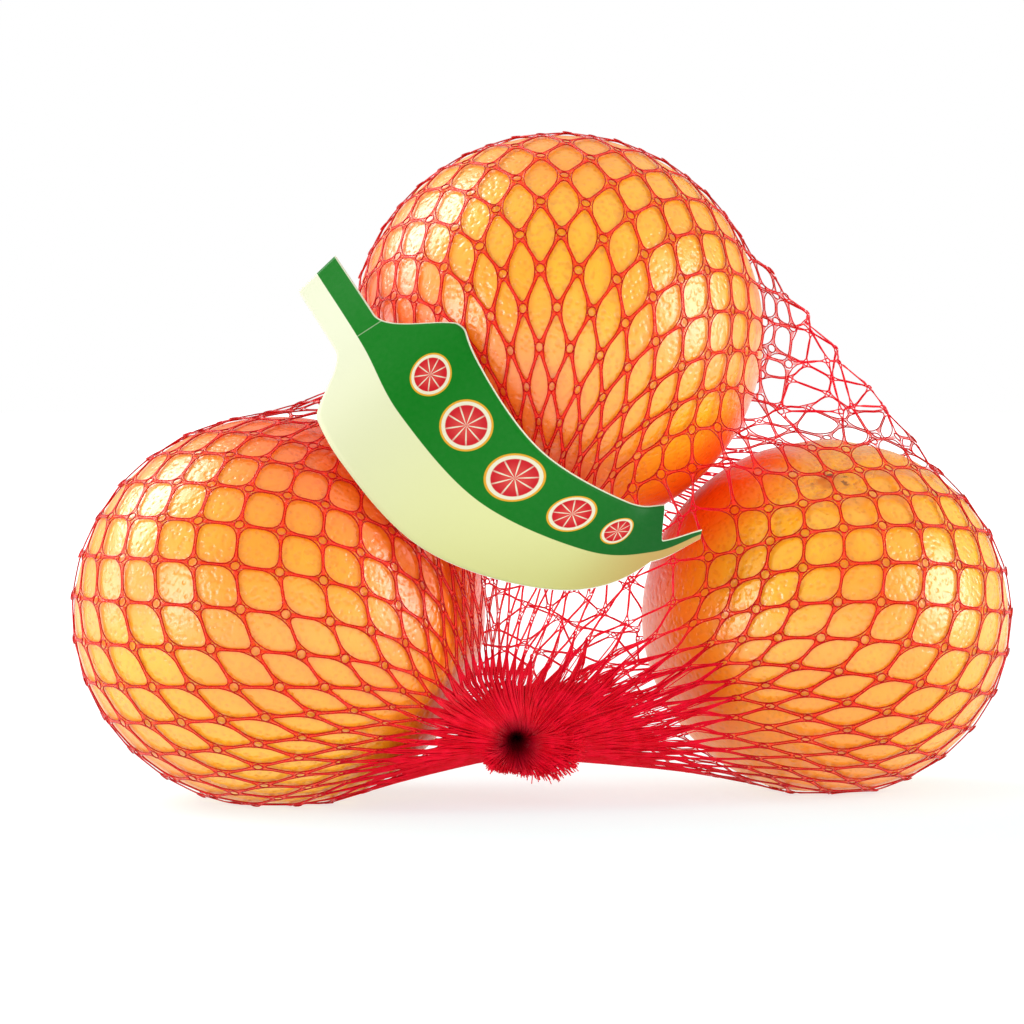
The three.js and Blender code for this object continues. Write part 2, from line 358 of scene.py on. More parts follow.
TOUCH_GAP = 0.15
ACROSS_STEM = (0.3, 1.0, 0.2)
FRUIT_SEED = 3
# How far the painted shade, a deeper orange-red, reaches from the left, the right and the top fruit.
PAINTED_SHADE_REACH = {"left": (0, 46, 46), "right": (46, 0, 17), "top": (45, 18, 0)}


def ball_grid(steps):
    """Directions and cells of a ball: six square grids of a cube, spread evenly by the tangent."""
    side = np.tan(np.linspace(-1, 1, steps + 1) * math.pi / 4)
    across, up = np.meshgrid(side, side)
    one = np.ones_like(across)
    walls = [(one, across, up), (-one, up, across), (up, one, across)]
    walls += [(across, -one, up), (across, up, one), (up, across, -one)]
    points = np.concatenate([np.stack(wall, axis=-1).reshape(-1, 3) for wall in walls])
    cells = grid_quads(steps + 1, steps + 1)
    quads = np.concatenate([cells + wall * (steps + 1) ** 2 for wall in range(6)])
    kept, order = np.unique(points.round(6), axis=0, return_inverse=True)
    return unit(kept), order.reshape(-1)[quads]


def stem_angles(ways, stem):
    """Angle of each direction from the stem, and its turn around the stem."""
    stem = unit(np.array(stem, dtype=float))
    first = unit(np.cross(stem, ACROSS_STEM))
    second = np.cross(stem, first)
    return np.arccos(np.clip(ways @ stem, -1, 1)), np.arctan2(ways @ second, ways @ first)


def fruit_surface(ways, fruit, angle, turn, seed):
    """Ellipsoid lowered by the hollow and the furrows, raised by the stem button and slow waves."""
    draw = np.random.default_rng(seed)
    waves = draw.normal(0, BUMP_PACE, (BUMP_WAVES, 3)) @ ways.T
    waves += draw.uniform(0, BUMP_SHIFT, (BUMP_WAVES, 1))
    height = BUMP_HEIGHT * np.sin(waves).mean(axis=0)
    height -= HOLLOW_DEPTH * np.exp(-((angle / HOLLOW_ANGLE) ** 2))
    fade = np.exp(-(((angle - FURROW_ANGLE) / FURROW_REACH) ** 2))
    furrows = 0.5 + 0.5 * np.cos(FURROW_COUNT * turn + draw.uniform(0, BUMP_SHIFT))
    height -= FURROW_DEPTH * fade * furrows
    height += BUTTON_HEIGHT * np.exp(-((angle / BUTTON_ANGLE) ** 4))
    half = np.array(fruit["half"], dtype=float)
    return np.array(fruit["centre"]) + ways * half + unit(ways / half) * height[:, None]


def painted_shade_on(points, reaches):
    """Painted shade from 0 to 1 close to the other fruit: e to the minus fourth power of the gap over
    the reach, joined for both of them."""
    plain = 1
    for centre, half, reach in zip(CENTRES, HALVES, reaches):
        if reach:
            gap = np.linalg.norm(points - centre, axis=1) - half.mean()
            plain = plain * (1 - np.exp(-((gap / reach) ** 4)))
    return 1 - plain


def press(points, base, outward):
    """Moves the points beyond a plane back onto it."""
    beyond = np.maximum((points - base) @ outward, 0)
    return points - beyond[:, None] * outward


ball_ways, ball_quads = ball_grid(BALL_STEPS)
left_to_top = unit(CENTRES[2] - CENTRES[0])
touch_reach = [1 / np.linalg.norm(left_to_top / half) for half in HALVES]
overlap = touch_reach[0] + touch_reach[2] - np.linalg.norm(CENTRES[2] - CENTRES[0])
touch_point = CENTRES[0] + left_to_top * (touch_reach[0] - overlap / 2)
print("fruit grid:", len(ball_ways), "points; left and top overlap by", round(overlap, 2), "mm")

# %% [markdown]
# ## The peel
# Grapefruit peel is waxy and yellow-orange, and full of oil glands: small dots a millimetre apart,
# each sunk a little. A Voronoi pattern gives one cell for each gland. Where the fruit face each other
# a deeper orange-red is painted in, as painted shade and the red light that fruit and net throw on
# each other. Around the stem the peel turns brown and corky. The wax makes the peel shine, and
# because the shine follows the bump of the glands, it breaks up like leather.

# %% Peel finish
PEEL_YELLOW = tint(255, 180, 22)
PEEL_ORANGE = tint(255, 150, 10)
# The colour of the painted shade between the fruit.
PEEL_PAINTED_SHADE = tint(250, 86, 5)
GLAND_TINT = tint(226, 136, 20)
CORK = tint(206, 106, 22)
CORK_DARK = tint(104, 46, 10)
# Lumps of each pattern in a metre, and the depth of the relief in metres.
PATCHES = 22.0
GLANDS = 720.0
CORK_LUMPS = 300.0
PITS = 420.0
LUMPS = 520.0
GRAIN = 1500.0
PEEL_RELIEF = 0.0006

peel = Finish("grapefruit peel", Specular_IOR_Level=1.0, IOR=1.54)
patches = peel.clouds(PATCHES, 3.0)
gland_inputs = {"Vector": peel.place(), "Scale": GLANDS}
gland = peel.node("ShaderNodeTexVoronoi", {"feature": "SMOOTH_F1"}, gland_inputs)
gland_dot = 1 - peel.ease(gland, 0.1, 0.5)
skin = peel.mix(patches, PEEL_YELLOW, PEEL_ORANGE)
skin = peel.mix(gland_dot * 0.45, skin, GLAND_TINT)
# Painted shade: a deeper orange-red where the fruit face each other.
skin = peel.mix(peel.value("painted_shade") * 0.95, skin, PEEL_PAINTED_SHADE)
stem_angle = peel.value("stem_angle")
cork_edge = stem_angle + (peel.noise(CORK_LUMPS, 3.0) - 0.5) * 0.12
cork = 1 - peel.ease(cork_edge, 0.03, 0.1)
pit = peel.ease(peel.noise(PITS), 0.55, 0.63) * (1 - peel.ease(stem_angle, 0.07, 0.17))
skin = peel.mix(cork * 0.6, skin, CORK)
skin = peel.mix(pit * 0.8, skin, CORK_DARK)
peel.give("Base Color", skin)
peel.give("Roughness", 0.26 + patches * 0.06 + cork * 0.3 + pit * 0.3)
relief = peel.noise(LUMPS) * 0.5 - gland_dot * 0.5 + peel.noise(GRAIN) * 0.15
peel.bump(relief, PEEL_RELIEF, 0.4)
print("peel finish:", len(peel.tree.nodes), "nodes")

# %% Fruit pieces
fruit_pieces = []
for number, (name, fruit) in enumerate(FRUIT.items()):
    angle, turn = stem_angles(ball_ways, fruit["stem"])
    points = fruit_surface(ball_ways, fruit, angle, turn, FRUIT_SEED + number)
    points[:, 2] = np.maximum(points[:, 2], FLOOR_PRESS)
    if name != "right":
        outward = left_to_top if name == "left" else -left_to_top
        points = press(points, touch_point - outward * TOUCH_GAP, outward)
    piece = make_piece(f"grapefruit_{name}", points, ball_quads, [peel])
    add_value(piece, "stem_angle", angle)
    # How much painted shade each point gets, from its gap to the other fruit.
    add_value(piece, "painted_shade", painted_shade_on(points, PAINTED_SHADE_REACH[name]))
    fruit_pieces.append(piece)

# %% [markdown]
# ## The net
# The net is a tube of diamond meshes, knitted from plastic thread and gathered at both ends. Cloth
# simulation doesn't know meshes that slide and open, so the net is drawn tight here: its knots start
# on a wide oval bag, and in each round every strand pulls its two knots together while the fruit push
# them out again. The net is tucked in on the left, behind the label, and stands off as a tight fin
# between the top and the right fruit. In front it clings, so knots that are only a little way off a
# fruit are drawn closer to it. Where the net hangs free, its meshes are uneven and its threads lie
# closer together.

# %% Net sizes
COLUMNS = 48
ROWS = 30
SLACK_LENGTH = 8.0
LONGEST_STRAND = 10.2
NET_STAND = 0.85
FLOOR_STAND = 0.45
GATHER_RADIUS = 3.5
FRONT_GATHER = {"centre": np.array([-6.8, -34, 16.5]), "axis": unit(np.array([0.05, -1, -0.12]))}
BACK_GATHER = {"centre": np.array([4, 51.2, 78]), "axis": unit(np.array([0, 1, -0.1]))}
BAG_CENTRE = np.array([0.0, 0, 74])
BAG_HALF = np.array([150.0, 100, 120])
TUCK = np.array([-62.0, 112.5])
TUCK_RADIUS = 19.5
TUCK_TRAVEL = np.array([-90.0, 60])
FIN_FROM = np.array([34.6, 8, 135.4])
FIN_TO = np.array([93.9, 9, 65.4])
FIN_RADIUS = 8.0
ROUNDS = 1200
PULL = 0.125
SLACK_PULL = 0.015
LIMIT_PASSES = 3
LIMIT_PULL = 0.22
TUCK_START = 0.3
TUCK_TIME = 0.4
CLING_REACH = 25.0
CLING_FRONT = (0.0, 12.0)
CLING_ABOVE = (14.0, 12.0)
FREE_FROM = 5.0
FREE_OVER = 6.0
FREE_JITTER = 0.13
FREE_CLOSER = 0.5
FREE_SEED = 21


# %% Net drawn tight
def loose_net():
    """Rows of knots on an oval bag from pole to pole, with each odd row turned half a mesh."""
    along = unit(BACK_GATHER["centre"] - FRONT_GATHER["centre"])
    side = unit(np.array([1.0, 0, 0]) - along * along[0])
    third = np.cross(along, side)
    row = np.arange(ROWS + 1)[:, None]
    tilt = math.pi * row / ROWS
    turn = 2 * math.pi * (np.arange(COLUMNS) + row % 2 / 2) / COLUMNS
    around = np.cos(turn)[..., None] * side + np.sin(turn)[..., None] * third
    way = np.sin(tilt)[..., None] * around - np.cos(tilt)[..., None] * along
    knots = BAG_CENTRE + way / length_of(way / BAG_HALF)
    for end, beside, gather in ((0, 1, FRONT_GATHER), (-1, -2, BACK_GATHER)):
        spread = knots[beside] - knots[beside].mean(axis=0)
        spread -= (spread @ gather["axis"])[:, None] * gather["axis"]
        knots[end] = gather["centre"] + GATHER_RADIUS * unit(spread)
    return knots


def four_strands(knots):
    """From each inner knot to its two knots in the next row and its two in the row before."""
    odd = (np.arange(1, ROWS) % 2 == 1)[:, None, None]
    strands = []
    for row in (knots[2:], knots[:-2]):
        strands.append(np.where(odd, row, np.roll(row, 1, axis=1)) - knots[1:-1])
        strands.append(np.where(odd, np.roll(row, -1, axis=1), row) - knots[1:-1])
    return strands


def off_the_fruit(points, stand):
    """Points inside a fruit, made larger by stand, move straight out to its surface; then points
    under the floor move up."""
    for centre, half in zip(CENTRES, HALVES):
        away = points - centre
        depth = length_of(away / (half + stand))
        points = np.where(depth < 1, centre + away / np.maximum(depth, 1e-6), points)
    points[..., 2] = np.maximum(points[..., 2], FLOOR_STAND)
    return points


def keep_off(points, tuck):
    """Knots leave the fruit and the floor, and are moved out of the fin and the tuck."""
    points = off_the_fruit(points, NET_STAND)
    edge = FIN_TO - FIN_FROM
    share = np.clip((points - FIN_FROM) @ edge / (edge @ edge), 0, 1)[..., None]
    away = points - FIN_FROM - share * edge
    gap = length_of(away)
    moved = points + away * (FIN_RADIUS / np.maximum(gap, 1e-6) - 1)
    points = np.where(gap < FIN_RADIUS, moved, points)
    if tuck is not None:
        away = points[..., [0, 2]] - tuck
        gap = length_of(away)
        moved = tuck + away * TUCK_RADIUS / np.maximum(gap, 1e-6)
        points[..., [0, 2]] = np.where(gap < TUCK_RADIUS, moved, points[..., [0, 2]])
    return points


def tight_net():
    """Rounds of pulling: a strand draws its knots in by a share of its length past the slack."""
    knots = loose_net()
    for turn in range(ROUNDS):
        stage = (turn / ROUNDS - TUCK_START) / TUCK_TIME
        tuck = TUCK + TUCK_TRAVEL * (1 - min(stage, 1)) if stage > 0 else None
        for part in range(LIMIT_PASSES + 1):
            move = 0
            for strand in four_strands(knots):
                length = length_of(strand)
                firm = PULL * np.maximum(length - SLACK_LENGTH, 0) + SLACK_PULL * length
                limit = LIMIT_PULL * np.maximum(length - LONGEST_STRAND, 0)
                move = move + strand / length * (limit if part else firm)
            knots[1:-1] = keep_off(knots[1:-1] + move, tuck)
    return knots


# %% Net loosened
def clinging(points):
    """Points in front, well above the floor and near a fruit, are drawn closer to it: their gap is
    multiplied by a share that grows smoothly from 0 at the fruit to 1 at CLING_REACH."""
    hold = smooth_step(-points[..., 1:2], *CLING_FRONT) * smooth_step(points[..., 2:], *CLING_ABOVE)
    for centre, half in zip(CENTRES, HALVES):
        away = points - centre
        depth = length_of(away / (half + NET_STAND))
        share = 1 - hold * (1 - smooth_step((depth - 1) * half.mean(), 0, CLING_REACH))
        closer = 1 + (depth - 1) * share
        points = centre + away * np.where(depth > 1, closer / np.maximum(depth, 1), 1)
    return points


def hang_free(points):
    """0 up to FREE_FROM off a fruit, and 1 from FREE_OVER further off every fruit."""
    ways = [(points - centre) / half for centre, half in zip(CENTRES, HALVES)]
    nearest = np.min([np.linalg.norm(way, axis=-1) for way in ways], axis=0) - 1
    return smooth_step(nearest * HALVES.mean(), FREE_FROM, FREE_OVER)


def loosened(knots):
    """Knots that hang free are moved at random along the net, by a share of the distance to the
    next knot."""
    draw = np.random.default_rng(FREE_SEED)
    spacing = np.linalg.norm(np.roll(knots, -1, axis=1) - knots, axis=-1)
    move = draw.normal(0, FREE_JITTER, knots.shape) * (spacing * hang_free(knots))[..., None]
    outward = np.cross(np.gradient(knots, axis=1), np.gradient(knots, axis=0))
    move -= (move * unit(outward)).sum(axis=-1, keepdims=True) * unit(outward)
    return off_the_fruit(knots + move, NET_STAND)


tight = tight_net()
tight[1:-1] = clinging(tight[1:-1])
knots = loosened(tight)
strand_lengths = np.linalg.norm(np.concatenate(four_strands(knots)), axis=-1)
print("strand lengths in mm:", np.percentile(strand_lengths, [0, 50, 100]).round(1))

# %% [markdown]
# ## Threads, rings and film
# Close up, each mesh of the net is a rounded loop of thin thread. Neighbouring loops lie side by
# side along a strand and part towards its ends, and where four loops meet, a small ring stands
# between them. A thin film of the same plastic fills the narrow gaps. So the net is one tube for
# each loop, one for each ring, and one flat sliver for each strand.

# %% Thread helpers
THREAD_RADIUS = 0.18
RING_THREAD = 0.2
RING_RADIUS = 1.15
RING_STEPS = 9
CORNER_SLIDE = 0.36
CORNER_SPREAD = 0.28
CORNER_REACH = 1.65
CORNER_STEPS = 5
# Limits in narrow meshes, as shares of the mesh's size.
SPREAD_LIMIT = 0.4
REACH_LIMIT = 0.3
RING_LIMIT = 0.12


def bundle(rings, closed):
    """All points of many tubes of the same build, and their cells: those of one tube, capped where it
    is open, counted on from tube to tube."""
    count, steps, sides, _ = rings.shape
    cells = grid_quads(steps, sides, closed_rows=closed, closed_columns=True)
    if not closed:
        last = (steps - 1) * sides
        caps = [[3, 2, 1, 0], [last, last + 1, last + 2, last + 3]]
        cells = np.concatenate([cells, caps])
    first = np.arange(count)[:, None, None] * steps * sides
    return rings.reshape(-1, 3), (cells + first).reshape(-1, 4)


def tubes(paths, normals, radius, sides, closed):
    """Round tubes along many paths at once. Around each path point stands a ring of points in the
    plane of the normal and the sideways direction, which is the normal crossed with the path's
    direction."""
    ahead = np.roll(paths, -1, 1) - np.roll(paths, 1, 1) if closed else np.gradient(paths, axis=1)
    along = unit(ahead)
    side = unit(np.cross(normals, along))
    up = np.cross(along, side)
    angle = 2 * math.pi * (np.arange(sides) + 0.5) / sides
    ring = np.cos(angle)[:, None] * side[:, :, None] + np.sin(angle)[:, None] * up[:, :, None]
    return bundle(paths[:, :, None] + radius * ring, closed)


def join(parts):
    """Several sets of points and cells as one set."""
    starts = np.cumsum([0] + [len(points) for points, cells in parts])
    cells = [cells + start for (points, cells), start in zip(parts, starts)]
    return np.concatenate([points for points, cells in parts]), np.concatenate(cells)


# %% Loops and rings
def mesh_corners(rows):
    """The four knots round each mesh of those rows: left, before, right and after."""
    corners = []
    for row in rows:
        right = np.roll(knots[row], -1, axis=0)
        turn = -1 if row % 2 else 0
        before = np.roll(knots[row - 1], turn, axis=0)
        after = np.roll(knots[row + 1], turn, axis=0)
        corners.append(np.stack([knots[row], before, right, after], axis=1))
    return np.concatenate(corners)


def loop_paths(corners):
    """The thread round each mesh: at each corner a curve from beside one strand to beside the next,
    which passes the knot at a distance. In narrow meshes all distances shrink with the mesh."""
    following = np.roll(corners, -1, axis=1)
    middle = corners.mean(axis=1, keepdims=True)
    strand = following - corners
    inward = middle - (corners + following) / 2
    inward -= (inward * unit(strand)).sum(axis=-1, keepdims=True) * unit(strand)
    width = length_of(inward)
    close = 1 - FREE_CLOSER * hang_free(corners)[..., None]
    beside = unit(inward) * np.minimum(CORNER_SPREAD * close, SPREAD_LIMIT * width)
    arrive = corners + np.roll(beside - CORNER_SLIDE * strand, 1, axis=1)
    leave = corners + beside + CORNER_SLIDE * strand
    to_middle = middle - corners
    limit = REACH_LIMIT * length_of(to_middle)
    reach = np.minimum(CORNER_REACH * close, limit)
    control = 2 * (corners + unit(to_middle) * reach) - (arrive + leave) / 2
    share = np.linspace(0, 1, CORNER_STEPS)[:, None, None, None]
    bend = (1 - share) ** 2 * arrive + 2 * share * (1 - share) * control + share**2 * leave
    return np.moveaxis(bend, 0, 2).reshape(len(corners), -1, 3)


def mesh_normals(corners):
    """A mesh's outward direction: the cross product of its two diagonals."""
    return unit(np.cross(corners[:, 2] - corners[:, 0], corners[:, 3] - corners[:, 1]))


def ring_paths(corners):
    """A ring round the first knot of each mesh: an oval in the plane of the mesh, which narrows
    with it."""
    normal = mesh_normals(corners)
    across = corners[:, 2] - corners[:, 0]
    upright = corners[:, 3] - corners[:, 1]
    wide = np.minimum(RING_RADIUS, RING_LIMIT * length_of(across))
    high = np.minimum(RING_RADIUS, RING_LIMIT * length_of(upright))
    side = unit(across)
    close = 1 - FREE_CLOSER * hang_free(corners[:, 0])[:, None]
    turn = 2 * math.pi * np.arange(RING_STEPS)[:, None, None] / RING_STEPS
    oval = np.cos(turn) * side * wide + np.sin(turn) * np.cross(normal, side) * high
    return np.moveaxis(corners[:, 0] + oval * close, 0, 1), normal


# %% [markdown]
# The thread is glossy red polyethylene, a little uneven in colour, with bright glints where it
# turns. Where it hangs free, light comes through it from behind, and a faint glow stands for that.
# The film between two threads is the same plastic, only so thin that it is half clear. A faint
# painted glow in its own red stands for the light that comes through it.

# %% Thread and film finishes
THREAD_RED = tint(186, 0, 12)
THREAD_LIGHT = tint(210, 4, 24)
THREAD_GLOW = tint(224, 12, 52)
FILM_RED = tint(240, 20, 14)
FILM_PINK = tint(246, 56, 42)

thread = Finish(
    "red net thread",
    Specular_IOR_Level=0.1,
    Coat_Weight=0.25,
    Coat_Roughness=0.06,
    Emission_Strength=0.4,
)
uneven = thread.clouds(240.0)
thread.give("Base Color", thread.mix(uneven, THREAD_RED, THREAD_LIGHT))
thread.give("Emission Color", thread.mix(thread.value("free"), BLACK, THREAD_GLOW))
thread.give("Roughness", 0.22 + uneven * 0.16)
thread.bump(thread.noise(2600.0), 0.0001, 0.5)

# The emission here is a painted glow, for light that comes through the film.
film = Finish("red net film", Specular_IOR_Level=0.2, Emission_Strength=0.25)
cloud = film.clouds(500.0)
film_red = film.mix(cloud, FILM_RED, FILM_PINK)
film.give("Base Color", film_red)
# Painted glow: the film's own red also glows.
film.give("Emission Color", film_red)
film.give("Roughness", 0.22 + cloud * 0.2)
film.give("Alpha", 0.38 + cloud * 0.22)

# %% Net pieces
FILM_STATIONS = np.array([0.12, 0.2, 0.32, 0.68, 0.8, 0.88])
FILM_HALF_WIDTHS = np.array([0.72, 0.42, 0.24, 0.24, 0.42, 0.72])
FILM_HALF_THICK = 0.05
FILM_LIMIT = 0.1
LOOP_SIDES = 3
LOOP_STAND = 0.5


def net_half(rows):
    """Loops and rings of some rows of the net as one set of points and cells."""
    corners = mesh_corners(rows)
    normal = mesh_normals(corners)
    loops = off_the_fruit(loop_paths(corners), LOOP_STAND)
    rings, ring_normal = ring_paths(corners)
    rings = off_the_fruit(rings, LOOP_STAND)
    loop_tubes = tubes(loops, normal[:, None], THREAD_RADIUS, LOOP_SIDES, closed=True)
    ring_tubes = tubes(rings, ring_normal[:, None], RING_THREAD, LOOP_SIDES, closed=True)
    return join([loop_tubes, ring_tubes])


def film_slivers():
    """Between the two threads of each strand: a flat four-cornered profile, wide at the rings."""
    corners = mesh_corners(range(2, ROWS - 1))
    start = np.concatenate([corners[:, 0], corners[:, 0]])
    end = np.concatenate([corners[:, 1], corners[:, 3]])
    normal = np.concatenate([mesh_normals(corners)] * 2)[:, None]
    run = FILM_STATIONS[:, None] * (end - start)[:, None]
    path = off_the_fruit(start[:, None] + run, LOOP_STAND)
    along = unit(end - start)[:, None]
    side = unit(np.cross(normal, along))
    up = np.cross(along, side)
    limit = FILM_LIMIT * np.linalg.norm(corners[:, 2] - corners[:, 0], axis=-1)
    limit = np.concatenate([limit, limit])[:, None, None]
    close = 1 - FREE_CLOSER * hang_free(path)[..., None]
    half = np.minimum(FILM_HALF_WIDTHS[:, None] * close, limit)
    edges = [path + side * half, path + up * FILM_HALF_THICK]
    edges += [path - side * half, path - up * FILM_HALF_THICK]
    points = np.stack(edges, axis=2)
    points[..., 2] = np.maximum(points[..., 2], FILM_HALF_THICK)
    return bundle(points, closed=False)


HALF_WAY = ROWS // 2
net_pieces = []
for name, rows in {"net_front": range(1, HALF_WAY), "net_back": range(HALF_WAY, ROWS)}.items():
    points, cells = net_half(rows)
    piece = make_piece(name, points, cells, [thread])
    add_value(piece, "free", hang_free(points))
    net_pieces.append(piece)
net_pieces.append(make_piece("net_film", *film_slivers(), [film]))

# %% [markdown]
# ## The gathered ends
# At both ends the tube is drawn together and cut. Behind the throat the meshes are pulled so narrow
# that they turn into a fan of folded threads, which follows the first rows of the net. The middle of
# the fan is so dense that it is a thin sheet with the threads on it. In front of the throat the cut
# ends flare out into a short brush. Lengths and places are drawn at random from a seeded generator,
# and the threads are painted darker towards the throat as painted shade.

# %% Gather helpers
FOLD_THREADS = 2100
FOLD_STEPS = 8
FOLD_ROWS = 7
FOLD_LIFT = 1.2
FOLD_LENGTHS = (0.7, 1.12)
FOLD_CLOSING = 3
FEWEST_ROWS = 2
STOP_SHORT = 0.001
SHEET_COLUMNS = 480
SHEET_STEPS = 9
SHEET_START = 0.12
SHEET_LENGTHS = (0.6, 0.78)
SHEET_THICK = 0.15
BRUSH_THREADS = 800
BRUSH_STEPS = 8
BRUSH_OUT = 4.0
BRUSH_START = 0.2
BRUSH_LENGTHS = (0.84, 1.03)
BRUSH_SWAY = 0.12
BRUSH_LIFT = 0.6
THROAT_DEPTH = 6.0
THROAT_RADIUS = 2.4
FINE_RADIUS = 0.15
TUFT_SIDES = 4
# Keeps a thread's normal off the thread's own direction.
NUDGE = np.array([0.01, 0.02, 0.03])


def gather_sides(gather):
    """Two directions across a gather's axis: to the right as seen from outside, and upwards."""
    level = unit(np.cross((0.0, 0, 1), gather["axis"]))
    return level, np.cross(gather["axis"], level)


def reach_to(turn, reaches):
    """The reach to one side, straight between reaches at even turns, from the right upwards."""
    places = np.linspace(0, 2 * math.pi, len(reaches) + 1)
    return np.interp(turn % (2 * math.pi), places, [*reaches, reaches[0]])


def row_stations(gather, rows, columns):
    """Where threads pass: the throat, then each row of knots at a column, whole or not."""
    throat = gather["centre"] - gather["axis"] * THROAT_DEPTH
    stations = [np.broadcast_to(throat, (len(columns[0]), 3))]
    for row, column in zip(rows, columns):
        place = column - row % 2 / 2
        low = np.floor(place).astype(int)
        share = (place - low)[:, None]
        before = knots[row][low % COLUMNS]
        after = knots[row][(low + 1) % COLUMNS]
        stations.append(before * (1 - share) + after * share)
    return np.stack(stations)


def row_counts(gather, stations, reaches, lengths, draw):
    """How many rows each path covers: the reach to its side times a random number between two
    lengths."""
    level, upright = gather_sides(gather)
    spread = stations[2] - gather["centre"]
    turn = np.arctan2(spread @ upright, spread @ level)
    return reach_to(turn, reaches) * draw.uniform(*lengths, len(turn))


def follow(stations, counts, shares):
    """Paths from station to station, for shares of the number of rows that each one covers."""
    run = np.minimum(counts[:, None] * shares, len(stations) - 1 - STOP_SHORT)
    first = np.floor(run).astype(int)
    rest = (run - first)[..., None]
    number = np.arange(len(counts))[:, None]
    return stations[first, number] * (1 - rest) + stations[first + 1, number] * rest


# %% Tuft shapes
def fold_paths(gather, rows, reaches, draw):
    """Threads from the throat along the strands of the first rows, up to FOLD_LIFT in front. Each
    lies beside its strand and closes in on it with a power of its run, up to a knot."""
    columns = [draw.integers(0, COLUMNS, FOLD_THREADS)]
    for row in range(1, FOLD_ROWS):
        columns.append(columns[-1] + draw.choice((-0.5, 0.5), FOLD_THREADS))
    beside = draw.uniform(-0.5, 0.5, FOLD_THREADS)
    on_strand = row_stations(gather, rows, columns)
    off_strand = row_stations(gather, rows, [column + beside for column in columns])
    counts = np.round(row_counts(gather, on_strand, reaches, FOLD_LENGTHS, draw)).clip(FEWEST_ROWS)
    shares = np.linspace(0, 1, FOLD_STEPS)
    close = (shares**FOLD_CLOSING)[:, None]
    paths = follow(on_strand, counts, shares) * close
    paths += follow(off_strand, counts, shares) * (1 - close)
    lift = draw.uniform(0, FOLD_LIFT, FOLD_THREADS)[:, None] * np.sin(shares * math.pi)
    return off_the_fruit(paths + lift[..., None] * gather["axis"], NET_STAND)


def fold_sheet(gather, rows, reaches, draw):
    """The dense middle of the folds: a closed sheet with a ragged edge, its front along the rows of
    knots and its back SHEET_THICK behind."""
    column = np.arange(SHEET_COLUMNS) * COLUMNS / SHEET_COLUMNS
    stations = row_stations(gather, rows, [column] * FOLD_ROWS)
    counts = row_counts(gather, stations, reaches, SHEET_LENGTHS, draw)
    front = follow(stations, counts, np.linspace(SHEET_START, 1, SHEET_STEPS))
    front = off_the_fruit(front, NET_STAND)
    back = front - SHEET_THICK * gather["axis"]
    points = np.concatenate([front, back[:, ::-1]], axis=1)
    cells = grid_quads(SHEET_COLUMNS, 2 * SHEET_STEPS, closed_rows=True, closed_columns=True)
    around = np.roll(front[:, -1], -1, axis=0) - front[:, -1]
    facing = np.cross(front[:, -1] - front[:, 0], around) @ gather["axis"]
    return points.reshape(-1, 3), cells if facing.mean() > 0 else cells[:, ::-1]


def brush_paths(gather, span, reaches, draw):
    """Cut ends to the sides within a span of turns: a thread runs out from the axis to its side's
    reach, and comes forward by BRUSH_OUT times share; near the axis it dips into the throat as a
    bell curve of its distance."""
    level, upright = gather_sides(gather)
    turn = draw.uniform(*span, BRUSH_THREADS)
    reach = reach_to(turn, reaches) * draw.uniform(*BRUSH_LENGTHS, BRUSH_THREADS)
    share = np.linspace(0, 1, BRUSH_STEPS)[None, :]
    sway = turn[:, None] + draw.normal(0, BRUSH_SWAY, BRUSH_THREADS)[:, None] * share**2
    spread = BRUSH_START + reach[:, None] * share
    lift = draw.normal(0, BRUSH_LIFT, BRUSH_THREADS)[:, None] * share
    out = BRUSH_OUT * share + lift - THROAT_DEPTH * np.exp(-((spread / THROAT_RADIUS) ** 2))
    around = np.cos(sway)[..., None] * level + np.sin(sway)[..., None] * upright
    paths = gather["centre"] + spread[..., None] * around + out[..., None] * gather["axis"]
    paths[..., 2] = np.maximum(paths[..., 2], FLOOR_STAND)
    return paths


def tuft(gather, rows, fold_reaches, span, brush_reaches, seed):
    """Sheet, folds and brush of one gather as points and cells, and each point's distance from the
    axis."""
    draw = np.random.default_rng(seed)
    sets = [fold_sheet(gather, rows, fold_reaches, draw)]
    folds = fold_paths(gather, rows, fold_reaches, draw)
    brush = brush_paths(gather, span, brush_reaches, draw)
    for paths in (folds, brush):
        normals = np.broadcast_to(gather["axis"] + NUDGE, paths.shape)
        sets.append(tubes(paths, normals, FINE_RADIUS, TUFT_SIDES, closed=False))
    points, cells = join(sets)
    away = points - gather["centre"]
    away -= (away @ gather["axis"])[:, None] * gather["axis"]
    return points, cells, np.linalg.norm(away, axis=1)


# %% Tuft finish
# Painted shade in the throat: this dark red near the axis fades to the tuft's own red over
# THROAT_SHADE, in millimetres from the axis.
THROAT_PAINTED_SHADE = tint(64, 0, 8)
TUFT_RED = tint(216, 0, 26)
TUFT_LIGHT = tint(236, 6, 44)
THROAT_SHADE = (0.6, 8.0)

tuft_finish = Finish("red tuft thread", Specular_IOR_Level=0.12)
tuft_uneven = tuft_finish.clouds(300.0)
tuft_red = tuft_finish.mix(tuft_uneven, TUFT_RED, TUFT_LIGHT)
# Painted shade: dark near the gather's axis, the tuft's own red further out.
out_of_throat_shade = tuft_finish.ease(tuft_finish.value("from_axis"), *THROAT_SHADE)
tuft_finish.give("Base Color", tuft_finish.mix(out_of_throat_shade, THROAT_PAINTED_SHADE, tuft_red))
tuft_finish.give("Roughness", 0.3 + tuft_uneven * 0.15)

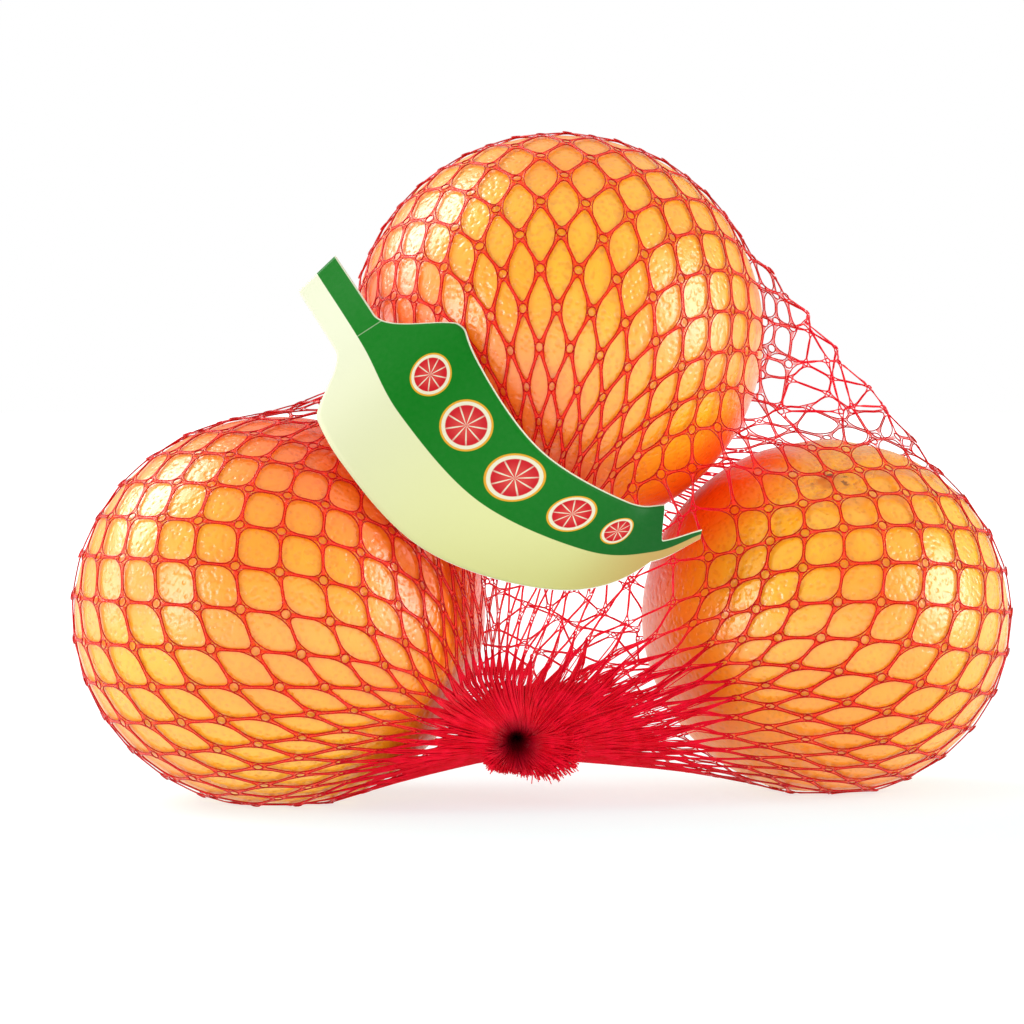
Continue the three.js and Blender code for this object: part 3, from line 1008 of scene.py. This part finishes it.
# %% Tuft pieces
# Reaches at even turns, from the right upwards as seen from outside: of the folds in rows of the
# net, of the brush in millimetres.
FRONT_FOLDS = (5.6, 4.9, 3.5, 2.9, 2.8, 2.9, 3.4, 6.6, 4.5, 3.4, 4.5, 7.0)
FRONT_BRUSH = (16.0, 9.0, 5.0, 5.0, 5.0, 6.0, 8.0, 9.0, 7.0, 6.0, 8.0, 13.0)
# Rows from the end inwards, the folds' reaches, the turns that the brush spans, and its reaches.
FRONT_ENDS = (range(ROWS), FRONT_FOLDS, (-2.8, 0.4), FRONT_BRUSH)
BACK_ENDS = (range(ROWS, 0, -1), (3.2,), (0, 2 * math.pi), (8.0,))
# Each tuft's gather and ends, and the seed of its random draws.
TUFTS = {
    "tuft_front": (FRONT_GATHER, *FRONT_ENDS, 11),
    "tuft_back": (BACK_GATHER, *BACK_ENDS, 12),
}
tuft_pieces = []
for name, settings in TUFTS.items():
    points, cells, from_axis = tuft(*settings)
    piece = make_piece(name, points, cells, [tuft_finish])
    add_value(piece, "from_axis", from_axis)
    tuft_pieces.append(piece)

# %% [markdown]
# ## The label
# The label is printed card, bent round the front of the net, with a tail at each end. It is carried
# along the line between its green field and its pale field: at each place of the line a direction
# across the card and the widths above and below the line give its two edges.

# %% Label shape
CARD_THICK = 0.5
CARD_STEPS = 240
CARD_ACROSS = 24
LABEL_LINE = [
    (-53.8, -10, 124.5),
    (-42.5, -29.5, 108.5),
    (-33.5, -42.2, 93),
    (-15.5, -46.5, 73.5),
    (9, -43.5, 62),
    (24.5, -40, 61.3),
    (35.8, -34.5, 65),
]
LABEL_ACROSS = [
    (0.72, 0.12, 0.69),
    (0.8, -0.03, 0.6),
    (0.8, 0.02, 0.6),
    (0.76, 0.16, 0.63),
    (0.6, 0.4, 0.7),
    (0.22, 0.55, 0.8),
    (0.2, 0.4, 0.9),
]
LABEL_END = len(LABEL_LINE) - 1
TAIL_WIDTH = 6.1
TIP_WIDTH = 1.2
UPPER_WIDTH = 24.0
UPPER_END = 13.0
LOWER_WIDTH = 17.4
LOWER_END = 2.6
# Start and length of each change of width, in places along the line, and the power of a taper.
UPPER_SHOULDER = (0.78, 0.9)
LOWER_SHOULDER = (0.85, 0.6)
UPPER_TAPER = (1.5, 3.5, 0.85)
LOWER_TAPER = (2.4, 2.6, 2.2)
NOTCH_AT = 5.0
NOTCH_LENGTH = 0.14
NOTCH_WIDTH = 3.0


def curve_through(points, place):
    """A Catmull-Rom curve through the points; place counts them from 0."""
    points = np.array(points, dtype=float)
    ends = [2 * points[:1] - points[1:2], points, 2 * points[-1:] - points[-2:-1]]
    padded = np.concatenate(ends)
    first = np.clip(np.floor(place).astype(int), 0, len(points) - 2)
    share = (place - first)[:, None]
    before, start, end, after = (padded[first + step] for step in range(4))
    square = 2 * before - 5 * start + 4 * end - after
    cube = 3 * (start - end) + after - before
    return start + 0.5 * share * (end - before + share * (square + share * cube))


def taper(place, start, length, power):
    """0 before start, 1 after start + length, and a power of the share between them."""
    return np.clip((place - start) / length, 0, 1) ** power


def label_widths(place):
    """Widths above and below the line: the tail, a shoulder, the tapering panel, the end tail."""
    upper = UPPER_WIDTH + (UPPER_END - UPPER_WIDTH) * taper(place, *UPPER_TAPER)
    upper = TAIL_WIDTH + (upper - TAIL_WIDTH) * smooth_step(place, *UPPER_SHOULDER)
    lower = TAIL_WIDTH + (LOWER_WIDTH - TAIL_WIDTH) * smooth_step(place, *LOWER_SHOULDER)
    lower += (LOWER_END - lower) * taper(place, *LOWER_TAPER)
    upper += (NOTCH_WIDTH - upper) * smooth_step(place, NOTCH_AT, NOTCH_LENGTH)
    tail = np.clip(place - NOTCH_AT, 0, 1)
    return upper + (TIP_WIDTH - upper) * tail, lower + (TIP_WIDTH - lower) * tail


def label_surface():
    """The middle sheet of the card: line plus share of width times the direction across. Also the
    run along the line, the offset from it and the distance from the upper edge."""
    place = np.linspace(0, LABEL_END, CARD_STEPS + 1)
    line = curve_through(LABEL_LINE, place)
    across = unit(curve_through(LABEL_ACROSS, place))
    upper, lower = label_widths(place)
    share = np.linspace(-1, 1, CARD_ACROSS + 1)
    offset = np.where(share > 0, share * upper[:, None], share * lower[:, None])
    sheet = line[:, None] + offset[..., None] * across[:, None]
    run = np.concatenate([[0], np.cumsum(np.linalg.norm(np.diff(line, axis=0), axis=-1))])
    return sheet, np.broadcast_to(run[:, None], offset.shape), offset, upper[:, None] - offset


sheet, label_run, label_offset, label_margin = label_surface()
label_normal = unit(np.cross(np.gradient(sheet, axis=0), np.gradient(sheet, axis=1)))
front_side = sheet + label_normal * CARD_THICK / 2
back_side = sheet - label_normal * CARD_THICK / 2
around_card = np.concatenate([front_side, back_side[:, ::-1]], axis=1)
loop = 2 * (CARD_ACROSS + 1)
label_quads = grid_quads(CARD_STEPS + 1, loop, closed_columns=True)[:, ::-1]
inner = np.arange(CARD_ACROSS)
end_cap = np.stack([inner, inner + 1, loop - 2 - inner, loop - 1 - inner], axis=1)
label_quads = np.concatenate([label_quads, end_cap, end_cap[:, ::-1] + CARD_STEPS * loop])
print("label runs", round(label_run[-1, 0], 1), "mm along its line")

# %% [markdown]
# ## The print
# The print has a dark green field above the line and a pale one below it. Both fields deepen to the
# right, partly as printed tint and partly as painted shade where the card turns down into the shadow
# of the top fruit, and the pale field ends in a painted brown shade at the right tail.
# The back and the cut edges stay white, a narrow white margin is left along the upper edge, and a
# faint crease crosses the green at the shoulder. Varnish gives the card a soft sheen. A row of
# plain citrus slices decorates the green. Each slice is worked out from the distance and the angle
# to its centre in the card's own flat coordinates.

# %% Print finish
CARD_GREEN = tint(0, 108, 18)
CARD_DARK_GREEN = tint(20, 90, 34)
CARD_CREAM = tint(214, 216, 188)
CARD_PALE = tint(208, 208, 148)
CARD_LEMON = tint(184, 180, 106)
# Painted shade at the right tail, where the card turns down under the top fruit.
CARD_PAINTED_SHADE = tint(186, 152, 88)
CARD_FIBRE = tint(236, 234, 226)
CARD_WHITE = tint(252, 251, 246)
SLICE_RED = tint(186, 16, 30)
SLICE_ROSE = tint(202, 66, 60)
SLICE_PITH = tint(214, 210, 182)
SLICE_PEEL = tint(212, 150, 36)
# Place along the line, place across and radius of each slice, in millimetres.
SLICES = [(46, 11, 5.2), (61, 10.5, 6.2), (78, 9.5, 6.6), (95, 8, 5.4), (108, 7, 4.0)]
SEGMENTS = 9
# Where each ring of a slice begins, in shares of its radius.
PITH_FROM = (0.76, 0.8)
PEEL_FROM = (0.9, 0.93)
SLICE_EDGE = (0.98, 1.01)
# Where one colour passes into the next, in millimetres along or across the line.
CREAM_RUN = (15, 85)
LEMON_RUN = (75, 135)
PAINTED_SHADE_RUN = (100, 126)
GREEN_RUN = (70, 130)
FIELD_EDGE = (-0.08, 0.08)
MARGIN = (0.25, 0.45)
CREASE_RUN = 24.5
CREASE_LEAN = 0.1
CREASE_WIDTH = (0.06, 0.2)
CREASE_SHARE = 0.35

ink = Finish("printed card", Specular_IOR_Level=0.0, Coat_Roughness=0.3)
run_mm = ink.value("run")
offset_mm = ink.value("offset")
# Both fields deepen to the right, partly printed tint and partly painted shade, and the pale field
# ends in painted shade at the right tail.
pale = ink.mix(ink.ease(run_mm, *CREAM_RUN), CARD_CREAM, CARD_PALE)
pale = ink.mix(ink.ease(run_mm - offset_mm, *LEMON_RUN), pale, CARD_LEMON)
pale = ink.mix(ink.ease(run_mm, *PAINTED_SHADE_RUN), pale, CARD_PAINTED_SHADE)
green = ink.mix(ink.ease(run_mm, *GREEN_RUN), CARD_GREEN, CARD_DARK_GREEN)
crease = 1 - ink.ease(abs(run_mm - CREASE_RUN - offset_mm * CREASE_LEAN), *CREASE_WIDTH)
green = ink.mix(crease * CREASE_SHARE, green, CARD_CREAM)
printed = ink.mix(ink.ease(offset_mm, *FIELD_EDGE), pale, green)
for run, offset, radius in SLICES:
    along = (run_mm - run) / radius
    up = (offset_mm - offset) / radius
    far = (along * along + up * up) ** 0.5
    turn = ink.node("ShaderNodeMath", {"operation": "ARCTAN2"}, {0: up, 1: along})
    wave = ink.node("ShaderNodeMath", {"operation": "COSINE"}, {0: turn * SEGMENTS})
    flesh = ink.mix(ink.ease(far, 0.1, 0.75), SLICE_ROSE, SLICE_RED)
    membrane = ink.ease(wave + (0.25 - far) * 0.5, 0.62, 0.9)
    inside = ink.mix(membrane, flesh, SLICE_PITH)
    inside = ink.mix(ink.ease(far, *PITH_FROM), inside, SLICE_PITH)
    inside = ink.mix(ink.ease(far, *PEEL_FROM), inside, SLICE_PEEL)
    printed = ink.mix(1 - ink.ease(far, *SLICE_EDGE), printed, inside)
margin = 1 - ink.ease(ink.value("margin"), *MARGIN)
printed = ink.mix(margin, printed, CARD_CREAM)
rub = ink.noise(900.0, 3.0)
ink.give("Base Color", ink.mix(rub * 0.015, printed, CARD_CREAM))
ink.give("Roughness", 0.3 + rub * 0.12)
ink.give("Coat Weight", 0.2 + rub * 0.1)
ink.bump(ink.noise(1800.0), 0.00004, 0.6)

# %% Bare card
card = Finish("bare card", Specular_IOR_Level=0.3)
fibre = card.noise(1500.0, 4.0)
card.give("Base Color", card.mix(fibre, CARD_FIBRE, CARD_WHITE))
card.give("Roughness", 0.6 + fibre * 0.2)
card.bump(fibre, 0.00005, 0.5)

# %% Label piece
label = make_piece("card_label", around_card.reshape(-1, 3), label_quads, [ink, card])
add_value(label, "run", np.concatenate([label_run, label_run], axis=1))
add_value(label, "offset", np.concatenate([label_offset, label_offset[:, ::-1]], axis=1))
add_value(label, "margin", np.concatenate([label_margin, label_margin[:, ::-1]], axis=1))
on_front = (label_quads % loop).max(axis=1) <= CARD_ACROSS
on_front[-2 * CARD_ACROSS :] = False
label.data.polygons.foreach_set("material_index", (~on_front).astype(np.int32))
label.data.update()

# %% [markdown]
# ## Replacing the solids
# The imported solids are hidden, and each piece rides on a body. The whole part is one rigid body
# here, so everything rides on the root.

# %% Ride and replace
for piece in fruit_pieces + tuft_pieces + net_pieces:
    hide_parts("net_bag")
    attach(piece, "root")
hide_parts("label")
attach(label, "root")
